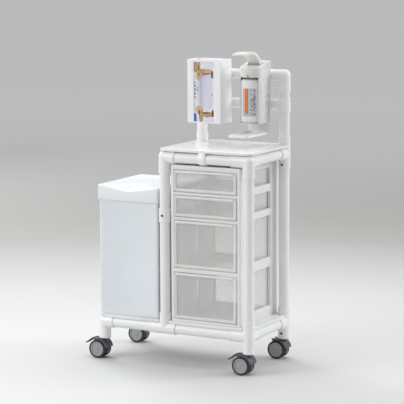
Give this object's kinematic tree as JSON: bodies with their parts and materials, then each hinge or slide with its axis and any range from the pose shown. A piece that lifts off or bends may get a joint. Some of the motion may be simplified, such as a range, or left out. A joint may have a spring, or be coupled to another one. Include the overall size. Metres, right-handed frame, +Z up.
{
  "type": "hygiene and medication cart",
  "caption": "Hospital care cart: plastic-pipe frame on twin-wheel casters with a lidded waste bin, a translucent drawer tower, a tabletop, a glove holder and an elbow-lever dispenser.",
  "frame": {"origin": "centre of the cart's footprint, on the floor", "axes": "+X to the user's right, from the bin towards the drawers; +Y away from the user; +Z up"},
  "size_m": [0.7724, 0.39, 1.2605],
  "materials": {
    "pipe_white": "extruded white pipe, satin",
    "fitting_white": "moulded white fitting, semi-gloss",
    "top_white": "glossy white sheet",
    "board_white": "white board, satin",
    "tower_white": "moulded white drawer tower, satin",
    "drawer_clear": "translucent moulded plastic with a frosted face",
    "bin_grey": "pale blue-grey moulded plastic",
    "lid_white": "pale moulded lid, semi-gloss",
    "holder_white": "white powder-coated sheet",
    "carton": "printed coated carton",
    "dispenser_white": "white moulded housing",
    "bottle_white": "blow-moulded white bottle with a plain colour label",
    "lever_ivory": "ivory moulded lever",
    "caster_grey": "grey moulded caster housing",
    "hub_grey": "grey moulded wheel centre",
    "tread_black": "dark soft tread",
    "pedal_black": "dark moulded pedal",
    "zinc_steel": "zinc-plated steel",
    "dark_steel": "dark screw head"
  },
  "bodies": {
    "frame": {"front_right_post": "pipe_white", "front_middle_post": "pipe_white", "rear_middle_upright": "pipe_white", "rear_right_upright": "pipe_white", "lower_front_rails": "pipe_white", "lower_rear_rails": "pipe_white", "lower_side_rails": "pipe_white", "top_front_rail": "pipe_white", "top_rear_rail": "pipe_white", "top_side_rails": "pipe_white", "brace_rail": "pipe_white", "upper_crossbar": "pipe_white", "lower_crossbar": "pipe_white", "lower_corner_fittings": "fitting_white", "lower_tee_fittings": "fitting_white", "top_corner_fittings": "fitting_white", "small_tee_fittings": "fitting_white", "elbow_fittings": "fitting_white", "frame_screws": "dark_steel", "tabletop": "top_white", "tabletop_clips": "fitting_white", "base_board": "board_white", "caster_stems": "zinc_steel", "cabinet": "tower_white", "drawer_runners": "tower_white", "bin_body": "bin_grey", "lid_pins": "zinc_steel", "bar_clips": "fitting_white", "glove_holder": "holder_white", "glove_carton": "carton", "dispenser_plate": "holder_white", "dispenser_hood": "dispenser_white", "lever_pin": "zinc_steel", "bottle": "bottle_white", "pump_body": "dispenser_white", "drip_tray": "holder_white"},
    "top_drawer": {"top_drawer": "drawer_clear"},
    "second_drawer": {"second_drawer": "drawer_clear"},
    "third_drawer": {"third_drawer": "drawer_clear"},
    "bottom_drawer": {"bottom_drawer": "drawer_clear"},
    "bin_lid": {"bin_lid": "lid_white"},
    "lever": {"dispenser_lever": "lever_ivory"},
    "plunger": {"pump_plunger": "dispenser_white"},
    "front_left_caster": {"front_left_caster_fork": "caster_grey"},
    "front_left_wheels": {"front_left_wheel_hubs": "hub_grey", "front_left_wheel_treads": "tread_black"},
    "front_left_brake": {"front_left_brake_pedal": "pedal_black"},
    "front_right_caster": {"front_right_caster_fork": "caster_grey"},
    "front_right_wheels": {"front_right_wheel_hubs": "hub_grey", "front_right_wheel_treads": "tread_black"},
    "front_right_brake": {"front_right_brake_pedal": "pedal_black"},
    "rear_left_caster": {"rear_left_caster_fork": "caster_grey"},
    "rear_left_wheels": {"rear_left_wheel_hubs": "hub_grey", "rear_left_wheel_treads": "tread_black"},
    "rear_right_caster": {"rear_right_caster_fork": "caster_grey"},
    "rear_right_wheels": {"rear_right_wheel_hubs": "hub_grey", "rear_right_wheel_treads": "tread_black"}
  },
  "joints": [
    {"name": "top_drawer_slide", "type": "slide", "parent": "frame", "child": "top_drawer", "axis": [0, -1, 0], "range_m": [0, 0.26]},
    {"name": "second_drawer_slide", "type": "slide", "parent": "frame", "child": "second_drawer", "axis": [0, -1, 0], "range_m": [0, 0.26]},
    {"name": "third_drawer_slide", "type": "slide", "parent": "frame", "child": "third_drawer", "axis": [0, -1, 0], "range_m": [0, 0.26]},
    {"name": "bottom_drawer_slide", "type": "slide", "parent": "frame", "child": "bottom_drawer", "axis": [0, -1, 0], "range_m": [0, 0.26]},
    {"name": "bin_lid_hinge", "type": "hinge", "parent": "frame", "child": "bin_lid", "pos_m": [-0.17845, 0.174, 0.652], "axis": [-1, 0, 0], "range_deg": [0, 100]},
    {"name": "lever_hinge", "type": "hinge", "parent": "frame", "child": "lever", "pos_m": [0.2628, 0.095, 1.199], "axis": [1, 0, 0], "range_deg": [0, 12], "stiffness_Nm_per_rad": 2, "springref_deg": -17.19},
    {"name": "plunger_slide", "type": "slide", "parent": "frame", "child": "plunger", "axis": [0, 0, -1], "range_m": [0, 0.0066]},
    {"name": "front_left_swivel", "type": "hinge", "parent": "frame", "child": "front_left_caster", "pos_m": [-0.2982, -0.167, 0.08], "axis": [0, 0, 1], "continuous": true},
    {"name": "front_left_roll", "type": "hinge", "parent": "front_left_caster", "child": "front_left_wheels", "pos_m": [-0.3232, -0.167, 0.0375], "axis": [0, 1, 0], "continuous": true},
    {"name": "front_left_brake_hinge", "type": "hinge", "parent": "front_left_caster", "child": "front_left_brake", "pos_m": [-0.3412, -0.167, 0.0795], "axis": [0, -1, 0], "range_deg": [0, 12]},
    {"name": "front_right_swivel", "type": "hinge", "parent": "frame", "child": "front_right_caster", "pos_m": [0.3608, -0.167, 0.08], "axis": [0, 0, 1], "continuous": true},
    {"name": "front_right_roll", "type": "hinge", "parent": "front_right_caster", "child": "front_right_wheels", "pos_m": [0.3358, -0.167, 0.0375], "axis": [0, 1, 0], "continuous": true},
    {"name": "front_right_brake_hinge", "type": "hinge", "parent": "front_right_caster", "child": "front_right_brake", "pos_m": [0.3178, -0.167, 0.0795], "axis": [0, -1, 0], "range_deg": [0, 12]},
    {"name": "rear_left_swivel", "type": "hinge", "parent": "frame", "child": "rear_left_caster", "pos_m": [-0.2982, 0.153, 0.08], "axis": [0, 0, 1], "continuous": true},
    {"name": "rear_left_roll", "type": "hinge", "parent": "rear_left_caster", "child": "rear_left_wheels", "pos_m": [-0.3232, 0.153, 0.0375], "axis": [0, 1, 0], "continuous": true},
    {"name": "rear_right_swivel", "type": "hinge", "parent": "frame", "child": "rear_right_caster", "pos_m": [0.3608, 0.153, 0.08], "axis": [0, 0, 1], "continuous": true},
    {"name": "rear_right_roll", "type": "hinge", "parent": "rear_right_caster", "child": "rear_right_wheels", "pos_m": [0.3358, 0.153, 0.0375], "axis": [0, 1, 0], "continuous": true}
  ],
  "couplings": [
    {"joint": "plunger_slide", "follows": "lever_hinge", "m_per_rad": 0.03}
  ]
}
